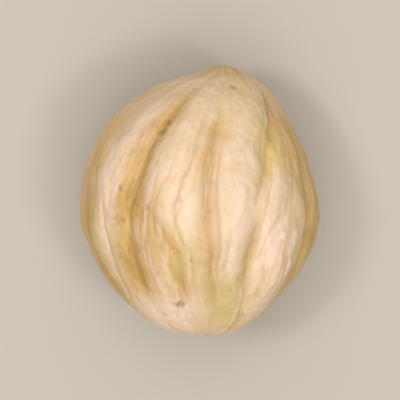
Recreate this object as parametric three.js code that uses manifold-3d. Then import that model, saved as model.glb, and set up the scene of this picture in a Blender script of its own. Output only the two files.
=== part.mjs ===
// A blanched hazelnut kernel, in millimetres, +Z up.
// It lies on its side on a small flat spot, with its long axis along Y and its tip towards +Y.

import * as THREE from 'three';
import { mergeVertices } from 'three/addons/utils/BufferGeometryUtils.js';
import Module from 'manifold-3d';

// Main form, measured from the widest ring
const halfWidth = 6.43;
const thickness = 0.94;       // height of the section over its width
const tipReach = 7.55;
const baseReach = 6.35;
const baseBluntness = 0.35;   // how much the base is pressed flat
const baseSharpness = 8;      // how close to the end that flatness keeps
const baseTaper = 0.27;       // how much the base half narrows
const taperStart = 0.2;       // how gently that narrowing begins
const tipNub = { height: 0.2, radius: 1 };
const tipLean = 1.2;          // how far the tip leans to one side
const tipLeanPower = 11;      // how late along the length it starts to

// Round scar on the base where the kernel grew on
const scar = { depth: 0.16, radius: 1.1, rimHeight: 0.04, rimRadius: 1.7, rimWidth: 0.5 };

// Shallow unevenness: height, lobes round the axis, waves along it, turn
const lumps = [
  { height: 0.1, lobes: 2, waves: 1.7, turn: 0.6 },
  { height: 0.08, lobes: 3, waves: -2.3, turn: 2.1 },
  { height: 0.05, lobes: 5, waves: 3.4, turn: 0.8 },
];

// Furrows between the ribs. Angles are in degrees round the axis from +Z towards +X,
// at mid length, with their slope and bend along the length, which runs from 0 to 1.
// The flare is how much wider and deeper they are at the base than at mid length.
const furrows = [
  { at: -37, slope: 10, bend: 54, depth: 0.4, width: 0.8, from: 0.13, to: 1.04, flare: 0.1 },
  { at: -18, slope: -62, bend: -150, depth: 0.32, width: 0.6, from: 0.06, to: 0.62, flare: 0.1 },
  { at: 3.5, slope: -8, bend: 62, depth: 0.25, width: 0.52, from: -0.04, to: 0.98, flare: 0.05 },
  { at: 27, slope: 23, bend: 125, depth: 0.28, width: 0.48, from: -0.06, to: 0.62, flare: 0 },
  { at: 22.5, slope: 40, bend: 130, depth: 0.26, width: 0.55, from: 0.5, to: 1.04, flare: -0.1 },
  { at: 64, slope: 14, bend: 22, depth: 0.22, width: 0.5, from: 0.02, to: 0.98, flare: -0.2 },
  { at: 84, slope: 22, bend: 30, depth: 0.26, width: 0.42, from: -0.05, to: 1, flare: 0.25 },
  { at: 98, slope: -15, bend: -40, depth: 0.12, width: 0.3, from: 0.2, to: 0.84, flare: 0 },
  { at: 114, slope: -8, bend: 30, depth: 0.2, width: 0.45, from: 0, to: 1.04, flare: -0.25 },
  { at: 137, slope: 14, bend: -35, depth: 0.16, width: 0.38, from: -0.06, to: 0.8, flare: 0.2 },
  { at: 160, slope: -10, bend: 20, depth: 0.1, width: 0.34, from: 0.1, to: 0.96, flare: 0 },
  { at: 200, slope: 8, bend: -20, depth: 0.1, width: 0.38, from: 0, to: 0.94, flare: 0 },
  { at: 221, slope: -18, bend: 25, depth: 0.18, width: 0.4, from: 0.12, to: 1.04, flare: 0.1 },
  { at: 243, slope: 8, bend: -30, depth: 0.24, width: 0.45, from: -0.04, to: 0.98, flare: -0.2 },
  { at: 256, slope: -10, bend: 20, depth: 0.11, width: 0.3, from: 0.25, to: 0.88, flare: 0 },
  { at: 266, slope: -12, bend: -30, depth: 0.18, width: 0.38, from: -0.05, to: 0.94, flare: 0.1 },
  { at: 286, slope: 8, bend: 15, depth: 0.27, width: 0.5, from: -0.02, to: 0.66, flare: 0.15 },
];
const furrowFade = 0.2;       // length over which a furrow's ends run out
const furrowSteepness = 1.6;  // how steep its sides are
const furrowRoundness = 0.3;  // how far its floor is rounded off
const softShare = 0.5;        // share of a furrow's depth that is a wide, soft hollow
const softWidth = 2.1;        // width of that hollow over the furrow's own
const poleRadius = 2.2;       // inside this radius, at tip and base, furrows get shallower
const poleSlimness = 0.35;    // their width at tip and base over that at mid length

// Depth of the flat spot underneath, which lies below the kernel's weight
const flatDepth = 0.22;

// Mesh density
const columns = 120;
const rows = 36;

function bell(value) {
  return Math.exp(-value * value);
}

// Section of a furrow, from 1 at its floor: its sides are straighter than a bell's
function valley(value) {
  return Math.exp(furrowRoundness - Math.hypot(furrowRoundness, furrowSteepness * value));
}

function smoothStep(value) {
  const x = Math.min(Math.max(value, 0), 1);
  return x * x * (3 - 2 * x);
}

function angleBetween(first, second) {
  const turn = first - second;
  return Math.atan2(Math.sin(turn), Math.cos(turn));
}

// Hollow of all furrows at a point: angle round the axis, length from 0 to 1, local radius
function furrowDepth(angle, length, radius) {
  const middle = length - 0.5;
  const slimness = poleSlimness + (1 - poleSlimness) * radius / halfWidth;
  let depth = 0;
  for (const furrow of furrows) {
    const path = furrow.at + furrow.slope * middle + furrow.bend * middle * middle;
    const across = radius * angleBetween(angle, THREE.MathUtils.degToRad(path));
    const flared = 1 - 2 * furrow.flare * middle;
    const width = furrow.width * slimness * flared;
    const hollow = softShare * bell(across / (softWidth * width));
    const section = (1 - softShare) * valley(across / width) + hollow;
    const start = smoothStep((length - furrow.from) / furrowFade);
    const end = smoothStep((furrow.to - length) / furrowFade);
    depth += furrow.depth * flared * section * start * end;
  }
  return depth * Math.min(radius / poleRadius, 1);
}

function lumpHeight(angle, along) {
  let height = 0;
  for (const lump of lumps) {
    height += lump.height * Math.sin(lump.lobes * angle + lump.waves * along + lump.turn);
  }
  return height;
}

// Moves a point of the unit sphere, whose poles are on the Y axis, onto the kernel
function kernelPoint(point) {
  const along = point.y;
  const round = Math.sqrt(Math.max(1 - along * along, 0));
  const angle = Math.atan2(point.x, point.z);
  const length = (1 + along) / 2;

  const unpressedBase = baseReach + baseBluntness;
  const taper = along < 0 ? baseTaper * along * along / (taperStart - along) : 0;
  let radius = halfWidth * round * (1 - taper);
  let y = (tipReach + unpressedBase) / 2 * along + (tipReach - unpressedBase) / 2 * along * along;
  if (along < 0) {
    y += baseBluntness * along ** baseSharpness;
    y += scar.depth * bell(radius / scar.radius);
    y -= scar.rimHeight * bell((radius - scar.rimRadius) / scar.rimWidth);
  } else {
    y += tipNub.height * bell(radius / tipNub.radius);
  }
  radius += lumpHeight(angle, along) * round - furrowDepth(angle, length, radius);

  const lean = tipLean * length ** tipLeanPower;
  return new THREE.Vector3(radius * Math.sin(angle) + lean, y, thickness * radius * Math.cos(angle));
}

function kernelGeometry() {
  const geometry = new THREE.SphereGeometry(1, columns, rows);
  geometry.deleteAttribute('normal');
  geometry.deleteAttribute('uv');
  const merged = mergeVertices(geometry, 1e-5);
  const position = merged.attributes.position;
  const point = new THREE.Vector3();
  for (let i = 0; i < position.count; i++) {
    point.fromBufferAttribute(position, i);
    position.setXYZ(i, ...kernelPoint(point).toArray());
  }
  merged.computeBoundingBox();
  return merged;
}

// Solids for cutting, from closed geometries with shared vertices
function toSolid(wasm, geometry) {
  return new wasm.Manifold(new wasm.Mesh({
    numProp: 3,
    vertProperties: new Float32Array(geometry.attributes.position.array),
    triVerts: new Uint32Array(geometry.index.array),
  }));
}

function toGeometry(solid) {
  const mesh = solid.getMesh();
  const geometry = new THREE.BufferGeometry();
  geometry.setAttribute('position', new THREE.BufferAttribute(new Float32Array(mesh.vertProperties), 3));
  geometry.setIndex(new THREE.BufferAttribute(new Uint32Array(mesh.triVerts), 1));
  geometry.computeVertexNormals();
  return geometry;
}

// Cuts the flat spot and stands it on z = 0, with the outline centred on the Z axis
function restOnFlatSpot(wasm, geometry) {
  const box = geometry.boundingBox;
  const size = box.getSize(new THREE.Vector3());
  const centre = box.getCenter(new THREE.Vector3());
  const floor = box.min.z + flatDepth;
  const below = new THREE.BoxGeometry(2 * size.x, 2 * size.y, size.z);
  below.deleteAttribute('normal');
  below.deleteAttribute('uv');
  below.translate(centre.x, centre.y, floor - size.z / 2);
  const rested = toGeometry(toSolid(wasm, geometry).subtract(toSolid(wasm, mergeVertices(below))));
  rested.translate(-centre.x, -centre.y, -floor);
  return rested;
}

const wasm = await Module();
wasm.setup();

const nutMaterial = new THREE.MeshStandardMaterial({ color: 0xe1be8c, roughness: 0.45, metalness: 0 });
const kernel = new THREE.Mesh(restOnFlatSpot(wasm, kernelGeometry()), nutMaterial);
kernel.name = 'kernel';

const hazelnut = new THREE.Group();
hazelnut.add(kernel);

export default hazelnut;
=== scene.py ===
"""The finished look of a blanched hazelnut kernel, built round its CAD solid.

The kernel is rebuilt from the same formula as the solid, on a much finer mesh, with its fine relief.
Lengths in the shape formulas are millimetres, and the finished mesh is in metres.
"""

import math
from collections import namedtuple

import bpy
import numpy as np
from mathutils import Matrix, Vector


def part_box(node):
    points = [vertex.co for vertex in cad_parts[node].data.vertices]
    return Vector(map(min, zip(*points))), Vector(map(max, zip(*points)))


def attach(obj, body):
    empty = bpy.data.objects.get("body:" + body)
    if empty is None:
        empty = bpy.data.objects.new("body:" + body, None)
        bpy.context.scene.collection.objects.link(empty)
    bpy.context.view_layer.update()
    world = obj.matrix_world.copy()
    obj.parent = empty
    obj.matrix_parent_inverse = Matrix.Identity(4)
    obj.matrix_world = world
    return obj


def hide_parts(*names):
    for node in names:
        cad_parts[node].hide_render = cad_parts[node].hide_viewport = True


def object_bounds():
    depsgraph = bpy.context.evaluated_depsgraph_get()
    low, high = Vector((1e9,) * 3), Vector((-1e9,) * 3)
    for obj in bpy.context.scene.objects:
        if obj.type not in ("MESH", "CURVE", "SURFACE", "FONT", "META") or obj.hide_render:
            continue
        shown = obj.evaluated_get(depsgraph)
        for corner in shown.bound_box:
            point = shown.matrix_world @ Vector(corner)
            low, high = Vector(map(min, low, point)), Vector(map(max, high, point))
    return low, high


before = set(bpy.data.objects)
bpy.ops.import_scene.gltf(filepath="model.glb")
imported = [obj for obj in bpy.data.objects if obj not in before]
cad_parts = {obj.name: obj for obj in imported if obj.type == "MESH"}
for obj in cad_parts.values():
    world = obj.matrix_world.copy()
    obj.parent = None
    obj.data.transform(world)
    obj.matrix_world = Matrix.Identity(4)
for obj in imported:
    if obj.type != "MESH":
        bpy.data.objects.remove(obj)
cad_low, cad_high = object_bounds()

MM = 0.001

# Main form of the kernel, the same as the CAD solid's
HALF_WIDTH = 6.43
THICKNESS = 0.94
TIP_REACH = 7.55
BASE_REACH = 6.35
BASE_BLUNTNESS = 0.35
BASE_SHARPNESS = 8
BASE_TAPER = 0.27
TAPER_START = 0.2
TIP_NUB_HEIGHT, TIP_NUB_RADIUS = 0.2, 1.0
TIP_LEAN, TIP_LEAN_POWER = 1.2, 11
SCAR_DEPTH, SCAR_RADIUS = 0.16, 1.1
SCAR_RIM_HEIGHT, SCAR_RIM_RADIUS, SCAR_RIM_WIDTH = 0.04, 1.7, 0.5

# Height, lobes round the axis, waves along it, turn
LUMPS = [
    (0.1, 2, 1.7, 0.6),
    (0.08, 3, -2.3, 2.1),
    (0.05, 5, 3.4, 0.8),
]

# Furrows between the ribs, the same as the CAD solid's. Each is at an angle in degrees at mid length,
# with its slope and bend along the length, which runs from 0 at the base to 1 at the tip.
# The flare is how much wider and deeper it is at the base than at mid length.
Furrow = namedtuple("Furrow", "at slope bend depth width start end flare")
FURROWS = [
    Furrow(-37, 10, 54, 0.4, 0.8, 0.13, 1.04, 0.1),
    Furrow(-18, -62, -150, 0.32, 0.6, 0.06, 0.62, 0.1),
    Furrow(3.5, -8, 62, 0.25, 0.52, -0.04, 0.98, 0.05),
    Furrow(27, 23, 125, 0.28, 0.48, -0.06, 0.62, 0),
    Furrow(22.5, 40, 130, 0.26, 0.55, 0.5, 1.04, -0.1),
    Furrow(64, 14, 22, 0.22, 0.5, 0.02, 0.98, -0.2),
    Furrow(84, 22, 30, 0.26, 0.42, -0.05, 1, 0.25),
    Furrow(98, -15, -40, 0.12, 0.3, 0.2, 0.84, 0),
    Furrow(114, -8, 30, 0.2, 0.45, 0, 1.04, -0.25),
    Furrow(137, 14, -35, 0.16, 0.38, -0.06, 0.8, 0.2),
    Furrow(160, -10, 20, 0.1, 0.34, 0.1, 0.96, 0),
    Furrow(200, 8, -20, 0.1, 0.38, 0, 0.94, 0),
    Furrow(221, -18, 25, 0.18, 0.4, 0.12, 1.04, 0.1),
    Furrow(243, 8, -30, 0.24, 0.45, -0.04, 0.98, -0.2),
    Furrow(256, -10, 20, 0.11, 0.3, 0.25, 0.88, 0),
    Furrow(266, -12, -30, 0.18, 0.38, -0.05, 0.94, 0.1),
    Furrow(286, 8, 15, 0.27, 0.5, -0.02, 0.66, 0.15),
]
FURROW_FADE = 0.2
FURROW_STEEPNESS, FURROW_ROUNDNESS = 1.6, 0.3
SOFT_SHARE, SOFT_WIDTH = 0.5, 2.1
POLE_RADIUS, POLE_SLIMNESS = 2.2, 0.35
MAIN_FURROW_END = 0.9         # furrows that run past this place along the length bound the ribs
RIB_BLEND_DEGREES = 25        # how far round the axis a main furrow bends the ribs
LEAST_WEIGHT = 1e-6           # keeps the weights from adding up to nothing

# How the furrows and grooves wander from their paths: angle in radians and turns along the kernel
WANDERS = [(0.035, 3), (0.016, 8)]

# Fine relief, in millimetres
CREASE_DEPTH, CREASE_WIDTH = 0.022, 0.2     # crisp line in the floor of each furrow
DEEP_FURROW = 0.4                           # furrows as deep as this have the full crease
WAVE_HEIGHT, WAVE_COUNT, WAVE_RUN = 0.08, 4, 1.6      # low swellings along the ribs
DENTS = [(0.09, 2.6), (0.05, 1.3), (0.02, 0.7)]       # height and size
GRAINS = [(0.028, 0.4), (0.014, 0.21)]                # height and size

# Folds round the tip
FOLD_HEIGHT, FOLD_COUNT, FOLD_UNEVENNESS = 0.05, 9, 1.3
FOLD_RING_RADIUS, FOLD_RING_WIDTH = 0.77, 0.66

# Roughness and ragged edge of the scar on the base
SCAR_ROUGHNESS, SCAR_GRAIN = 0.04, 0.35
SCAR_TINT_REACH = 1.15        # reach of its colour over its radius
SCAR_EDGE_WAVE, SCAR_EDGE_GRAIN, SCAR_EDGE_SOFTNESS = 0.25, 0.7, 0.35

# Scattered small pits, with the ranges that their sizes, depths and darkness are drawn from
PIT_COUNT, PIT_DEPTH, PIT_RADIUS = 110, 0.03, 0.1
PIT_SIZES, PIT_DEPTHS, PIT_DARKNESS = (0.5, 1.4), (0.4, 1.3), (0, 0.25)

# Fine grooves that run between each two furrows, with the ranges that they are drawn from
GROOVES_TO_A_RIB = 3
GROOVE_DEPTH, GROOVE_WIDTH = 0.1, 0.14
GROOVE_FADE, GROOVE_FADE_RADIUS = 0.2, 5.5      # they get shallower at their ends and inside this radius
GROOVE_WIGGLE = 0.06
GROOVE_SHIFTS, GROOVE_WAVES, GROOVE_PHASES = (-0.3, 0.3), (6, 14), (0, 6)
GROOVE_STARTS, GROOVE_ENDS = (-0.1, 0.45), (0.55, 1.1)
GROOVE_WIDTHS, GROOVE_STRENGTHS = (0.7, 1.5), (0.3, 1)

# Fine branching veins, thin lines that wander along the ribs, and the patches that they lie in
VEIN_DEPTH, VEIN_COUNT, VEIN_RUN, VEIN_THINNESS = 0.028, 5, 4, 0.1
VEIN_PATCH_COUNT, VEIN_PATCH_RUN, VEIN_PATCH_CONTRAST, VEIN_PATCH_SHARE = 2, 2, 1.2, 0.6

# Spots: angle in degrees, place along the length, half width, half length, strength
GREEN_SPOTS = [
    (40, 0.78, 0.8, 2.0, 0.8),
    (20, 0.96, 1.4, 1.4, 0.5),
    (21, 0.17, 1.7, 2.4, 0.85),
    (-9, 0.39, 1.3, 2.0, 0.6),
    (-60, 0.40, 0.7, 2.4, 0.7),
    (70, 0.66, 0.8, 2.0, 0.5),
    (170, 0.5, 1.5, 2.5, 0.5),
]
# Paler places, partly the kernel's own paler tone and partly painted light: those on the left crest, the
# base lobe, the tip and the right wall of the first furrow brighten places that face away from the lamps,
# and the strongest on the right crests are a painted highlight
PALE_AND_LIT_SPOTS = [
    (2, 0.52, 4.6, 8.5, 1.0),
    (36, 0.42, 2.4, 4.5, 1.0),
    # painted light on the left crest
    (-51, 0.56, 0.9, 4.5, 1.6),
    # painted light on the base lobe, which faces away from the lamps
    (-14, 0.07, 3.4, 2.8, 1.9),
    # painted highlight on the lower right crest
    (37, 0.3, 1.5, 3.2, 2.2),
    # painted light on the right wall of the first furrow
    (-22, 0.29, 1.0, 1.7, 1.4),
    (-26, 0.65, 0.7, 1.8, 1.3),
    # painted light on the tip
    (5, 0.92, 2.2, 1.8, 1.0),
    (128, 0.55, 2.6, 6.0, 0.8),
    (232, 0.4, 2.6, 6.0, 0.8),
]
# Tan along some furrows, partly their own tan and partly painted shade; the spots on the flanks are painted
# shade that darkens the edges
TAN_AND_SHADE_SPOTS = [
    (-38, 0.39, 1.1, 3.2, 0.55),
    (4, 0.6, 0.7, 4.5, 0.4),
    (-24, 0.49, 1.0, 1.7, 0.5),
    (25, 0.33, 0.5, 2.6, 0.4),
    (52, 0.66, 1.1, 2.4, 0.35),
    (112, 0.4, 0.9, 3.0, 0.5),
    (243, 0.55, 0.9, 3.0, 0.5),
    # painted shade on the flanks, darkening the edges
    (-71, 0.4, 1.5, 4.6, 0.65),
    (-60, 0.84, 1.6, 2.4, 0.3),
    (76, 0.5, 1.5, 6.5, 0.45),
]
SWELLINGS = [
    (46, 0.27, 1.1, 3.2, 1.0),
]
SWELLING_HEIGHT = 0.2
SPOT_RAGGEDNESS, SPOT_GRAIN = 0.35, 1.3

# Marks that stand out: angle in degrees, place along the length, radius, depth, darkness
MARKS = [
    (-14, 0.19, 0.24, 0.07, 0.5),
    (-44, 0.63, 0.16, 0.02, 0.35),
    (-41, 0.52, 0.14, 0.02, 0.3),
    (24, 0.96, 0.18, 0.03, 0.35),
    (150, 0.62, 0.34, 0.06, 0.6),
    (-110, 0.33, 0.16, 0.03, 0.35),
    (96, 0.24, 0.14, 0.03, 0.35),
]
MARK_RAGGEDNESS, MARK_GRAIN = 0.6, 0.9          # grain over the mark's radius
MARK_ACROSS, MARK_ALONG = HALF_WIDTH / 2, 14    # weights of angle and length in the search for its place

# Seeds of the random draws and of the noise in the shape
PIT_SEED = 5
GROOVE_SEED = 11
WAVE_SEED = 1
DENT_SEED = 2
MARK_SEED = 17
SPOT_SEED = 31
VEIN_SEED = 41
VEIN_PATCH_SEED = 43
SCAR_EDGE_SEED = 53
SCAR_GRAIN_SEED = 61
WANDER_SEED = 71
TURN_SEED_STEP = 100

# Factors, shifts and masks that turn whole numbers into even random ones
HASH_AXIS_FACTORS = (73856093, 19349663, 83492791)
HASH_SEED_FACTOR = 2654435761
HASH_ROUNDS = [(13, 1274126177), (16, 668265263)]
HASH_LAST_SHIFT = 15
HASH_LOW_HALF, HASH_WHOLE = 0xFFFF, 0xFFFFFFFF

NOISE_STRENGTH = 1.6          # brings the noise to between about -1 and 1
MESH_STEPS = 128              # squares along each edge of the cube that the mesh grows from
POINT_DIGITS = 9              # points of the cube that agree to so many digits are one
FULL_FURROW, FURROW_LIMIT = 0.45, 1.4      # depth that counts as 1 in the colours, and the most that counts

# Noise in the kernel's material: scale, detail, roughness
CLOUD_NOISE = (260, 3, 0.5)
GREEN_NOISE = (330, 2, 0.5)
TOAST_NOISE = (190, 3, 0.5)
STREAK_NOISE = (1, 4, 0.6)
SCAR_NOISE = (1800, 3, 0.5)
FLECK_NOISE = (900, 4, 0.65)
GLOSS_NOISE = (900, 3, 0.5)
FINE_NOISE = (5200, 3, 0.6)
COARSE_NOISE = (1500, 3, 0.55)
SPECK_SCALE = 1100
LENGTHWISE = (1, 0.6, 1)      # stretches noise along the kernel
STREAK_STRETCH = (14, 14, 5)

# Ramps in the kernel's material: from and to, and what they give there
CREST_RAMP = (0.4, 0.75, 0, 1)
# the palest and bright ramps turn the strongest pale spots pinkish cream: partly a painted highlight
PALEST_RAMP = (0.9, 1.6, 0, 0.9)
BRIGHT_RAMP = (0.9, 1.6, 0, 0.65)
# the furrow ramp turns the furrows tan with their depth: partly their own tan, partly painted shade
FURROW_RAMP = (0.1, 1.05, 0, 1)
GREEN_RAMP = (0.5, 0.7, 0, 0.3)
TOAST_RAMP = (0.55, 0.75, 0, 0.35)
DARK_STREAK_RAMP = (0.5, 0.7, 0, 0.4)
PALE_STREAK_RAMP = (0.48, 0.3, 0, 0.5)
TIP_RAMP = (0.975, 1.0, 0, 0.5)
SCAR_RAMP = (0.35, 0.65, 0, 1)
FLECK_RAMP = (0.61, 0.66, 0, 1)
SPECK_CHOICE_RAMP = (0.62, 0.7, 0, 1)
SPECK_EDGE_RAMP = (0.28, 0.1, 0, 1)
GLOSS_RAMP = (0.3, 0.7, 0.38, 0.52)

# Strengths in the kernel's material
# furrow drop, crease tan and groove tan darken the hollows: partly painted shade
# pale lift brightens the pale spots: partly painted light
PALE_LIFT, FURROW_DROP = 0.4, 0.35
CREASE_TAN_AND_SHADE, GROOVE_TAN_AND_SHADE, VEIN_TOAST = 0.45, 0.4, 0.4
SCAR_STRENGTH, FLECK_STRENGTH, SPECK_STRENGTH = 0.8, 0.6, 0.3
FURROW_DULLNESS = 0.08
FINE_BUMP = (0.00003, 0.5)    # distance in metres, and strength
COARSE_BUMP = (0.00008, 0.7)

# Stage
FLOOR_HALF = 0.6
LIGHTS = [                    # name, place, width, length, power
    ("softbox_above", (0, 0.01, 0.44), 0.4, 1.0, 2.4),
    ("left_light", (-0.15, 0.06, 0.36), 0.07, 0.07, 0.32),
    ("right_light", (0.15, -0.05, 0.36), 0.07, 0.07, 0.22),
]
WORLD_STRENGTH = 0.22
LENS, CAMERA_DISTANCE, CAMERA_LEAN = 300, 0.175, math.radians(8)
NEAREST, FARTHEST = 0.01, 2


def colour(red, green, blue):
    return (red, green, blue, 1.0)


CREAM = colour(0.85, 0.66, 0.505)
# pinkish cream: the palest own tone of the crests and streaks, and a painted highlight where the pale spots
# are strongest
PINK_CREAM_AND_HIGHLIGHT = colour(0.93, 0.695, 0.56)
FLESH = colour(0.76, 0.51, 0.225)
# tan of the furrows, creases, grooves and tan spots: partly the kernel's own tan, partly painted shade
TAN_AND_PAINTED_SHADE = colour(0.46, 0.27, 0.065)
GREEN_TINGE = colour(0.69, 0.52, 0.215)
SKIN_BROWN = colour(0.33, 0.15, 0.05)
SCAR_TAN = colour(0.55, 0.36, 0.16)
TOASTED = colour(0.76, 0.46, 0.20)
TIP_BROWN = colour(0.50, 0.32, 0.12)
SPECK_BROWN = colour(0.20, 0.10, 0.04)
FLOOR_GREY = colour(0.50, 0.465, 0.41)
WARM_WORLD = colour(1, 0.86, 0.62)


def bell(value):
    return np.exp(-value * value)


def valley(value):
    """Section of a furrow, from 1 at its rounded floor: its sides are straighter than a bell's."""
    return np.exp(FURROW_ROUNDNESS - np.hypot(FURROW_ROUNDNESS, FURROW_STEEPNESS * value))


def smooth_step(value):
    x = np.clip(value, 0, 1)
    return x * x * (3 - 2 * x)


def presence(length, start, end, fade):
    """1 between start and end, running out to 0 there over the length of the fade."""
    return smooth_step((length - start) / fade) * smooth_step((end - length) / fade)


def wrap(angle):
    return np.arctan2(np.sin(angle), np.cos(angle))


def hashed(place, seed):
    """Even random numbers from 0 to 1, one for each whole-number place."""
    mixed = seed * HASH_SEED_FACTOR
    for axis, factor in enumerate(HASH_AXIS_FACTORS):
        mixed = mixed ^ (place[:, axis] * factor)
    for shift, factor in HASH_ROUNDS:
        mixed = ((mixed ^ (mixed >> shift)) * factor) & HASH_WHOLE
    return ((mixed ^ (mixed >> HASH_LAST_SHIFT)) & HASH_LOW_HALF) / HASH_LOW_HALF


def noise(points, seed):
    """Smooth gradient noise between about -1 and 1, with features about one unit wide."""
    cell = np.floor(points).astype(np.int64)
    part = points - cell
    ease = part**3 * (part * (6 * part - 15) + 10)
    total = np.zeros(len(points))
    for corner in np.ndindex(2, 2, 2):
        up = 2 * hashed(cell + corner, seed) - 1
        turn = 2 * math.pi * hashed(cell + corner, seed + TURN_SEED_STEP)
        flat = np.sqrt(1 - up * up)
        gradient = np.stack([flat * np.cos(turn), flat * np.sin(turn), up], axis=1)
        weight = np.prod(np.where(corner, ease, 1 - ease), axis=1)
        total += weight * np.sum(gradient * (part - corner), axis=1)
    return NOISE_STRENGTH * total


def cube_sphere(steps):
    """Points of the unit sphere and the quads that join them, grown from a cube so that they are even."""
    edge = np.tan(np.linspace(-math.pi / 4, math.pi / 4, steps + 1))
    first, second = np.meshgrid(edge, edge, indexing="ij")
    sides = []
    for axis in range(3):
        for sign in (-1, 1):
            side = np.empty(first.shape + (3,))
            side[..., axis] = sign
            side[..., (axis + 1) % 3] = first * sign
            side[..., (axis + 2) % 3] = second
            sides.append(side.reshape(-1, 3))
    points = np.round(np.concatenate(sides), POINT_DIGITS)
    points, order = np.unique(points, axis=0, return_inverse=True)
    order = order.reshape(6, steps + 1, steps + 1)
    quads = np.stack([order[:, :-1, :-1], order[:, 1:, :-1], order[:, 1:, 1:], order[:, :-1, 1:]], axis=-1)
    return points / np.linalg.norm(points, axis=1)[:, None], quads.reshape(-1, 4)


def furrow_path(furrow, length):
    middle = length - 0.5
    return np.radians(furrow.at + furrow.slope * middle + furrow.bend * middle * middle)


def furrows_at(angle, length, radius):
    """Depth of all furrows, and of the crisp creases in their floors."""
    slimness = POLE_SLIMNESS + (1 - POLE_SLIMNESS) * radius / HALF_WIDTH
    depth = np.zeros(len(angle))
    crease = np.zeros(len(angle))
    for furrow in FURROWS:
        flared = 1 - 2 * furrow.flare * (length - 0.5)
        across = radius * wrap(angle - furrow_path(furrow, length))
        width = furrow.width * slimness * flared
        hollow = SOFT_SHARE * bell(across / (SOFT_WIDTH * width))
        section = (1 - SOFT_SHARE) * valley(across / width) + hollow
        present = presence(length, furrow.start, furrow.end, FURROW_FADE)
        depth += furrow.depth * flared * section * present
        crease += furrow.depth / DEEP_FURROW * bell(across / CREASE_WIDTH) * present
    near_pole = np.minimum(radius / POLE_RADIUS, 1)
    return depth * near_pole, crease * near_pole


def main_furrows():
    """The furrows that bound the ribs, in order round the axis."""
    return sorted(furrow for furrow in FURROWS if furrow.end > MAIN_FURROW_END)


def rib_angle(angle, length):
    """Angle round the axis, straightened so that it stays the same along each rib."""
    turn = np.zeros(len(angle))
    total = np.full(len(angle), LEAST_WEIGHT)
    for furrow in main_furrows():
        path = furrow_path(furrow, length)
        weight = bell(wrap(angle - path) / math.radians(RIB_BLEND_DEGREES))
        turn += weight * wrap(path - math.radians(furrow.at))
        total += weight
    return angle - turn / total


def fine_grooves(angle, length, radius):
    """Depth of the fine grooves, which share out the space between the main furrows."""
    random = np.random.default_rng(GROOVE_SEED)
    ordered = main_furrows()
    depth = np.zeros(len(angle))
    for left, right in zip(ordered, ordered[1:] + ordered[:1]):
        left_path = furrow_path(left, length)
        gap = wrap(furrow_path(right, length) - left_path)
        for groove in range(GROOVES_TO_A_RIB):
            share = (groove + 1 + random.uniform(*GROOVE_SHIFTS)) / (GROOVES_TO_A_RIB + 1)
            waves, phase = random.uniform(*GROOVE_WAVES), random.uniform(*GROOVE_PHASES)
            wiggle = GROOVE_WIGGLE * np.sin(waves * length + phase)
            across = radius * wrap(angle - left_path - gap * (share + wiggle))
            start, end = random.uniform(*GROOVE_STARTS), random.uniform(*GROOVE_ENDS)
            width = GROOVE_WIDTH * random.uniform(*GROOVE_WIDTHS)
            section = random.uniform(*GROOVE_STRENGTHS) * valley(across / width)
            depth += section * presence(length, start, end, GROOVE_FADE)
    return depth * np.minimum(radius / GROOVE_FADE_RADIUS, 1) ** 2


def lump_height(angle, along):
    height = np.zeros(len(angle))
    for rise, lobes, waves, turn in LUMPS:
        height += rise * np.sin(lobes * angle + waves * along + turn)
    return height


def main_form(sphere):
    """The CAD solid's formula, with the values that the fine relief and the colours build on."""
    along = sphere[:, 1]
    ring = np.sqrt(np.maximum(1 - along * along, 0))
    angle = np.arctan2(sphere[:, 0], sphere[:, 2])
    length = (1 + along) / 2
    base_side = np.minimum(along, 0)
    is_base = along < 0

    unpressed_base = BASE_REACH + BASE_BLUNTNESS
    smooth_radius = HALF_WIDTH * ring * (1 - BASE_TAPER * base_side**2 / (TAPER_START - base_side))
    y = (TIP_REACH + unpressed_base) / 2 * along + (TIP_REACH - unpressed_base) / 2 * along**2
    base_end = (
        BASE_BLUNTNESS * base_side**BASE_SHARPNESS
        + SCAR_DEPTH * bell(smooth_radius / SCAR_RADIUS)
        - SCAR_RIM_HEIGHT * bell((smooth_radius - SCAR_RIM_RADIUS) / SCAR_RIM_WIDTH)
    )
    tip_end = TIP_NUB_HEIGHT * bell(smooth_radius / TIP_NUB_RADIUS)
    y = y + np.where(is_base, base_end, tip_end)

    wandering = angle + sum(turn * noise(sphere * count, WANDER_SEED + count) for turn, count in WANDERS)
    depth, crease = furrows_at(wandering, length, smooth_radius)
    radius = smooth_radius + lump_height(angle, along) * ring - depth
    x = radius * np.sin(angle) + TIP_LEAN * length**TIP_LEAN_POWER
    z = THICKNESS * radius * np.cos(angle)
    facts = {
        "angle": angle,
        "length": length,
        "ring_radius": smooth_radius,
        "is_base": is_base,
        "furrow": depth,
        "crease": crease,
        "groove": fine_grooves(wandering, length, smooth_radius),
        "rib_angle": rib_angle(wandering, length),
    }
    return np.stack([x, y, z], axis=1), facts


def along_ribs(facts, count, run):
    """Points for noise stretched along the ribs: count features to a radian, run along the length."""
    turn = facts["rib_angle"]
    return np.stack([np.sin(turn) * count, np.cos(turn) * count, facts["length"] * run], axis=1)


def mark_centre(points, facts, degrees, length):
    """The mesh point that is nearest to an angle and a place along the length."""
    across = abs(wrap(facts["angle"] - math.radians(degrees))) * MARK_ACROSS
    along = abs(facts["length"] - length) * MARK_ALONG
    return points[np.argmin(across + along)]


def marks_at(points, facts):
    """Depth and darkness of the marks."""
    depth = np.zeros(len(points))
    dark = np.zeros(len(points))
    for degrees, length, radius, deep, darkness in MARKS:
        centre = mark_centre(points, facts, degrees, length)
        distance = np.linalg.norm(points - centre, axis=1)
        ragged = 1 + MARK_RAGGEDNESS * noise(points / (radius * MARK_GRAIN), MARK_SEED)
        spot = bell((distance / (radius * ragged)) ** 2)
        depth += deep * spot
        dark = np.maximum(dark, darkness * spot)
    return depth, dark


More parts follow.
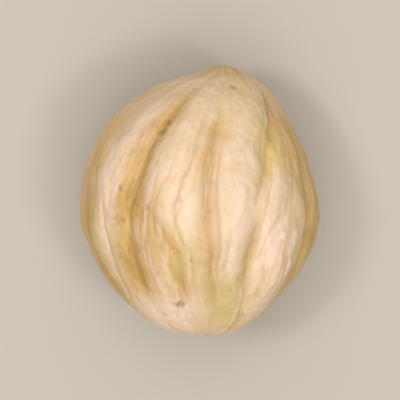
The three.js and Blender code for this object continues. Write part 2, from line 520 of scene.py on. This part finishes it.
def pits_at(points):
    """Depth and darkness of the scattered small pits."""
    depth = np.zeros(len(points))
    dark = np.zeros(len(points))
    random = np.random.default_rng(PIT_SEED)
    for number in random.choice(len(points), PIT_COUNT, replace=False):
        size = PIT_RADIUS * random.uniform(*PIT_SIZES)
        spot = bell(np.linalg.norm(points - points[number], axis=1) / size)
        depth += PIT_DEPTH * random.uniform(*PIT_DEPTHS) * spot
        dark = np.maximum(dark, random.uniform(*PIT_DARKNESS) * spot)
    return depth, dark


def veins_at(facts):
    """Strength of the fine veins, which are drawn where a stretched noise changes sign."""
    line = bell(noise(along_ribs(facts, VEIN_COUNT, VEIN_RUN), VEIN_SEED) / VEIN_THINNESS)
    patches = noise(along_ribs(facts, VEIN_PATCH_COUNT, VEIN_PATCH_RUN), VEIN_PATCH_SEED)
    present = smooth_step(VEIN_PATCH_CONTRAST * patches + VEIN_PATCH_SHARE)
    return line * present * np.clip(facts["ring_radius"] / GROOVE_FADE_RADIUS, 0, 1) ** 2


def spots_at(points, facts, spots):
    """Strength of soft, uneven spots."""
    total = np.zeros(len(points))
    ragged = SPOT_RAGGEDNESS * noise(points / SPOT_GRAIN, SPOT_SEED)
    for degrees, length, half_width, half_length, strength in spots:
        across = wrap(facts["angle"] - math.radians(degrees)) * facts["ring_radius"] / half_width
        along = (facts["length"] - length) * (TIP_REACH + BASE_REACH) / half_length
        total = np.maximum(total, strength * bell(np.hypot(across, along) + ragged))
    return total


def scar_at(points, facts):
    """Strength of the rough round scar on the base."""
    wave = SCAR_EDGE_WAVE * noise(points / SCAR_EDGE_GRAIN, SCAR_EDGE_SEED)
    edge = SCAR_RADIUS * (SCAR_TINT_REACH + wave)
    return smooth_step((edge - facts["ring_radius"]) / SCAR_EDGE_SOFTNESS + 0.5) * facts["is_base"]


def tip_folds(facts):
    """Height of the folds round the tip, from -1 to 1."""
    angle = facts["angle"]
    folds = np.sin(FOLD_COUNT * angle + FOLD_UNEVENNESS * np.sin(2 * angle))
    ring = bell((facts["ring_radius"] - FOLD_RING_RADIUS) / FOLD_RING_WIDTH)
    return folds * ring * ~facts["is_base"]


def relief(points, facts):
    """Height of the fine relief over the main form."""
    near_pole = np.clip(facts["ring_radius"] / POLE_RADIUS, 0, 1)
    height = WAVE_HEIGHT * noise(along_ribs(facts, WAVE_COUNT, WAVE_RUN), WAVE_SEED) * near_pole
    for number, (deep, size) in enumerate(DENTS + GRAINS):
        height += deep * noise(points / size, DENT_SEED + number)
    height += SWELLING_HEIGHT * spots_at(points, facts, SWELLINGS)
    height -= GROOVE_DEPTH * facts["groove"] + VEIN_DEPTH * facts["vein"]
    height -= CREASE_DEPTH * facts["crease"]
    height += FOLD_HEIGHT * tip_folds(facts)
    height += SCAR_ROUGHNESS * noise(points / SCAR_GRAIN, SCAR_GRAIN_SEED) * scar_at(points, facts)
    return height


def surface_normals(points, quads):
    across = points[quads[:, 2]] - points[quads[:, 0]]
    other = points[quads[:, 3]] - points[quads[:, 1]]
    face = np.cross(across, other)
    normals = np.zeros_like(points)
    for corner in range(4):
        np.add.at(normals, quads[:, corner], face)
    return normals / np.linalg.norm(normals, axis=1)[:, None]


def on_cad(points):
    """Moves the kernel to where the CAD solid is, and flattens it where it rests."""
    low, high = (np.array(corner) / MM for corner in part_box("kernel"))
    middle = (points.min(axis=0) + points.max(axis=0)) / 2
    moved = points - middle
    moved[:, :2] += (low + high)[:2] / 2
    moved[:, 2] += high[2] - moved[:, 2].max()
    moved[:, 2] = np.maximum(moved[:, 2], low[2])
    return moved


def add_values(mesh, name, values):
    attribute = mesh.attributes.new(name, "FLOAT", "POINT")
    attribute.data.foreach_set("value", values.astype(np.float32))


def add_colour_values(mesh, points, facts, dark):
    """Values at each point that the kernel's material reads."""
    add_values(mesh, "furrow", np.clip(facts["furrow"] / FULL_FURROW, 0, FURROW_LIMIT))
    add_values(mesh, "crease", np.clip(facts["crease"], 0, 1))
    add_values(mesh, "groove", np.clip(facts["groove"], 0, 1))
    add_values(mesh, "vein", facts["vein"])
    add_values(mesh, "length", facts["length"])
    add_values(mesh, "dark", dark)
    add_values(mesh, "green", spots_at(points, facts, GREEN_SPOTS))
    # tan spots: partly painted shade
    add_values(mesh, "tan", spots_at(points, facts, TAN_AND_SHADE_SPOTS))
    # pale spots: partly painted light and painted highlight
    add_values(mesh, "pale", spots_at(points, facts, PALE_AND_LIT_SPOTS))
    add_values(mesh, "scar", scar_at(points, facts))
    fibre = mesh.attributes.new("fibre", "FLOAT_VECTOR", "POINT")
    fibre.data.foreach_set("vector", along_ribs(facts, 1, 1).astype(np.float32).ravel())


def make_kernel():
    sphere, quads = cube_sphere(MESH_STEPS)
    points, facts = main_form(sphere)
    normals = surface_normals(points, quads)
    facts["vein"] = veins_at(facts)
    mark_depth, mark_dark = marks_at(points, facts)
    pit_depth, pit_dark = pits_at(points)
    height = relief(points, facts) - mark_depth - pit_depth
    points = on_cad(points + normals * height[:, None])

    mesh = bpy.data.meshes.new("kernel_surface")
    mesh.from_pydata((points * MM).tolist(), [], quads.tolist())
    mesh.update()
    mesh.shade_smooth()
    add_colour_values(mesh, points, facts, np.maximum(mark_dark, pit_dark))
    kernel = bpy.data.objects.new("kernel_surface", mesh)
    bpy.context.collection.objects.link(kernel)
    return kernel


class Nodes:
    """Short calls for building a material's nodes."""

    def __init__(self, name):
        self.material = bpy.data.materials.new(name)
        self.material.use_nodes = True
        self.tree = self.material.node_tree
        self.shader = self.tree.nodes["Principled BSDF"]

    def put(self, value, socket):
        if isinstance(value, bpy.types.NodeSocket):
            self.tree.links.new(value, socket)
        else:
            socket.default_value = value

    def attribute(self, name, output="Fac"):
        node = self.tree.nodes.new("ShaderNodeAttribute")
        node.attribute_name = name
        return node.outputs[output]

    def place(self):
        return self.tree.nodes.new("ShaderNodeTexCoord").outputs["Object"]

    def noise(self, vector, scale, detail, roughness):
        node = self.tree.nodes.new("ShaderNodeTexNoise")
        self.put(vector, node.inputs["Vector"])
        node.inputs["Scale"].default_value = scale
        node.inputs["Detail"].default_value = detail
        node.inputs["Roughness"].default_value = roughness
        return node.outputs["Fac"]

    def stretch(self, vector, scale):
        node = self.tree.nodes.new("ShaderNodeMapping")
        self.put(vector, node.inputs["Vector"])
        node.inputs["Scale"].default_value = scale
        return node.outputs["Vector"]

    def cells(self, vector, scale):
        node = self.tree.nodes.new("ShaderNodeTexVoronoi")
        self.put(vector, node.inputs["Vector"])
        node.inputs["Scale"].default_value = scale
        return node.outputs["Distance"], node.outputs["Color"]

    def ramp(self, value, low, high, to_low, to_high):
        node = self.tree.nodes.new("ShaderNodeMapRange")
        node.interpolation_type = "SMOOTHSTEP"
        self.put(value, node.inputs["Value"])
        node.inputs["From Min"].default_value = low
        node.inputs["From Max"].default_value = high
        node.inputs["To Min"].default_value = to_low
        node.inputs["To Max"].default_value = to_high
        return node.outputs["Result"]

    def maths(self, operation, first, second):
        node = self.tree.nodes.new("ShaderNodeMath")
        node.operation = operation
        self.put(first, node.inputs[0])
        self.put(second, node.inputs[1])
        return node.outputs[0]

    def times(self, first, second):
        return self.maths("MULTIPLY", first, second)

    def mix(self, factor, first, second):
        node = self.tree.nodes.new("ShaderNodeMix")
        node.data_type = "RGBA"
        self.put(factor, node.inputs["Factor"])
        colour_a, colour_b, mixed = node.inputs[6], node.inputs[7], node.outputs[2]
        self.put(first, colour_a)
        self.put(second, colour_b)
        return mixed

    def bump(self, height, distance, strength, below=None):
        node = self.tree.nodes.new("ShaderNodeBump")
        node.inputs["Strength"].default_value = strength
        node.inputs["Distance"].default_value = distance
        self.put(height, node.inputs["Height"])
        if below is not None:
            self.put(below, node.inputs["Normal"])
        return node.outputs["Normal"]


def flesh_tone(nodes, place, furrow):
    """Pale crests, deeper flesh, tan furrows: the flesh and tan that deepen with the furrows, creases and
    grooves are partly their own colour and partly painted shade, and the pale spots are partly painted
    light and painted highlight.
    """
    pale = nodes.attribute("pale")
    # painted light, partly: the pale spots lift the tone towards the crests' cream
    lifted = nodes.maths("ADD", nodes.noise(place, *CLOUD_NOISE), nodes.times(pale, PALE_LIFT))
    # painted shade, partly: the furrows' depth pulls the tone down to the deeper flesh
    crest = nodes.maths("SUBTRACT", lifted, nodes.times(furrow, FURROW_DROP))
    crest_tone = nodes.mix(nodes.ramp(pale, *PALEST_RAMP), CREAM, PINK_CREAM_AND_HIGHLIGHT)
    tone = nodes.mix(nodes.ramp(crest, *CREST_RAMP), FLESH, crest_tone)
    # painted shade, partly: the furrows turn tan with their depth
    tone = nodes.mix(nodes.ramp(furrow, *FURROW_RAMP), tone, TAN_AND_PAINTED_SHADE)
    # painted shade, partly: the crease in each furrow floor is darkened tan
    tone = nodes.mix(nodes.times(nodes.attribute("crease"), CREASE_TAN_AND_SHADE), tone, TAN_AND_PAINTED_SHADE)
    # painted highlight, partly: the strongest pale spots turn pinkish cream
    tone = nodes.mix(nodes.ramp(pale, *BRIGHT_RAMP), tone, PINK_CREAM_AND_HIGHLIGHT)
    # painted shade, partly: the fine grooves are darkened tan
    tone = nodes.mix(nodes.times(nodes.attribute("groove"), GROOVE_TAN_AND_SHADE), tone, TAN_AND_PAINTED_SHADE)
    return nodes.mix(nodes.times(nodes.attribute("vein"), VEIN_TOAST), tone, TOASTED)


def add_clouds(nodes, place, tone):
    """Tan spots, partly painted shade, and greenish and toasted clouds."""
    # painted shade, partly: the tan spots, darkest on the flanks
    tone = nodes.mix(nodes.attribute("tan"), tone, TAN_AND_PAINTED_SHADE)
    faint_green = nodes.ramp(nodes.noise(place, *GREEN_NOISE), *GREEN_RAMP)
    green = nodes.maths("MAXIMUM", nodes.attribute("green"), faint_green)
    tone = nodes.mix(green, tone, GREEN_TINGE)
    toast = nodes.noise(nodes.stretch(place, LENGTHWISE), *TOAST_NOISE)
    return nodes.mix(nodes.ramp(toast, *TOAST_RAMP), tone, TOASTED)


def add_streaks(nodes, tone):
    """Fine streaks along the ribs."""
    fibre = nodes.stretch(nodes.attribute("fibre", "Vector"), STREAK_STRETCH)
    streak = nodes.noise(fibre, *STREAK_NOISE)
    tone = nodes.mix(nodes.ramp(streak, *DARK_STREAK_RAMP), tone, FLESH)
    return nodes.mix(nodes.ramp(streak, *PALE_STREAK_RAMP), tone, PINK_CREAM_AND_HIGHLIGHT)


def add_tip_and_scar(nodes, place, tone):
    """Darker tip and mottled base scar."""
    tone = nodes.mix(nodes.ramp(nodes.attribute("length"), *TIP_RAMP), tone, TIP_BROWN)
    mottle = nodes.ramp(nodes.noise(place, *SCAR_NOISE), *SCAR_RAMP)
    scar_tone = nodes.mix(mottle, SCAR_TAN, FLESH)
    return nodes.mix(nodes.times(nodes.attribute("scar"), SCAR_STRENGTH), tone, scar_tone)


def add_specks(nodes, place, furrow, tone):
    """Flecks of skin in the furrows, small specks, and the darkness of pits and marks."""
    flecks = nodes.times(nodes.ramp(nodes.noise(place, *FLECK_NOISE), *FLECK_RAMP), furrow)
    tone = nodes.mix(nodes.times(flecks, FLECK_STRENGTH), tone, SKIN_BROWN)
    spread, tint = nodes.cells(place, SPECK_SCALE)
    speck = nodes.times(nodes.ramp(spread, *SPECK_EDGE_RAMP), nodes.ramp(tint, *SPECK_CHOICE_RAMP))
    tone = nodes.mix(nodes.times(speck, SPECK_STRENGTH), tone, TIP_BROWN)
    return nodes.mix(nodes.attribute("dark"), tone, SPECK_BROWN)


def kernel_material():
    nodes = Nodes("kernel_flesh")
    place = nodes.place()
    furrow = nodes.attribute("furrow")

    tone = flesh_tone(nodes, place, furrow)
    tone = add_clouds(nodes, place, tone)
    tone = add_streaks(nodes, tone)
    tone = add_tip_and_scar(nodes, place, tone)
    tone = add_specks(nodes, place, furrow, tone)
    nodes.put(tone, nodes.shader.inputs["Base Color"])

    gloss = nodes.ramp(nodes.noise(place, *GLOSS_NOISE), *GLOSS_RAMP)
    rough = nodes.maths("ADD", gloss, nodes.times(furrow, FURROW_DULLNESS))
    nodes.put(rough, nodes.shader.inputs["Roughness"])

    fine = nodes.bump(nodes.noise(place, *FINE_NOISE), *FINE_BUMP)
    coarse = nodes.noise(nodes.stretch(place, LENGTHWISE), *COARSE_NOISE)
    nodes.put(nodes.bump(coarse, *COARSE_BUMP, fine), nodes.shader.inputs["Normal"])

    nodes.shader.inputs["Subsurface Weight"].default_value = 0.35
    nodes.shader.inputs["Subsurface Radius"].default_value = (1.0, 0.5, 0.22)
    nodes.shader.inputs["Subsurface Scale"].default_value = 0.0007
    nodes.shader.inputs["IOR"].default_value = 1.47
    nodes.shader.inputs["Specular IOR Level"].default_value = 0.4
    return nodes.material


def floor_material():
    nodes = Nodes("floor_matt")
    nodes.shader.inputs["Base Color"].default_value = FLOOR_GREY
    nodes.shader.inputs["Roughness"].default_value = 0.7
    return nodes.material


def make_floor():
    mesh = bpy.data.meshes.new("floor")
    corners = [(-1, -1), (1, -1), (1, 1), (-1, 1)]
    mesh.from_pydata([(x * FLOOR_HALF, y * FLOOR_HALF, 0) for x, y in corners], [], [(0, 1, 2, 3)])
    mesh.materials.append(floor_material())
    floor = bpy.data.objects.new("floor", mesh)
    bpy.context.collection.objects.link(floor)


def area_light(name, place, width, length, power, aim):
    light = bpy.data.lights.new(name, "AREA")
    light.shape = "RECTANGLE"
    light.size = width
    light.size_y = length
    light.energy = power
    holder = bpy.data.objects.new(name, light)
    bpy.context.collection.objects.link(holder)
    holder.location = place
    away = holder.location - aim
    holder.rotation_euler = (-math.atan2(away.y, away.z), math.atan2(away.x, away.z), 0)


def make_lights(aim):
    for light in LIGHTS:
        area_light(*light, aim)
    world = bpy.data.worlds.new("studio")
    world.use_nodes = True
    background = world.node_tree.nodes["Background"]
    background.inputs["Color"].default_value = WARM_WORLD
    background.inputs["Strength"].default_value = WORLD_STRENGTH
    bpy.context.scene.world = world


def make_camera(aim):
    """Looks straight down, leaning a little towards the tip, with the tip at the top of the picture."""
    data = bpy.data.cameras.new("camera")
    data.lens = LENS
    data.clip_start, data.clip_end = NEAREST, FARTHEST
    camera = bpy.data.objects.new("camera", data)
    bpy.context.collection.objects.link(camera)
    away = Vector((0, math.sin(CAMERA_LEAN), math.cos(CAMERA_LEAN)))
    camera.location = aim + away * CAMERA_DISTANCE
    camera.rotation_euler = (-CAMERA_LEAN, 0, 0)
    bpy.context.scene.camera = camera


kernel = make_kernel()
kernel.data.materials.append(kernel_material())
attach(kernel, "root")
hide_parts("kernel")

middle = (cad_low + cad_high) / 2
make_floor()
make_lights(middle)
make_camera(middle)
bpy.context.scene.view_settings.view_transform = "Standard"
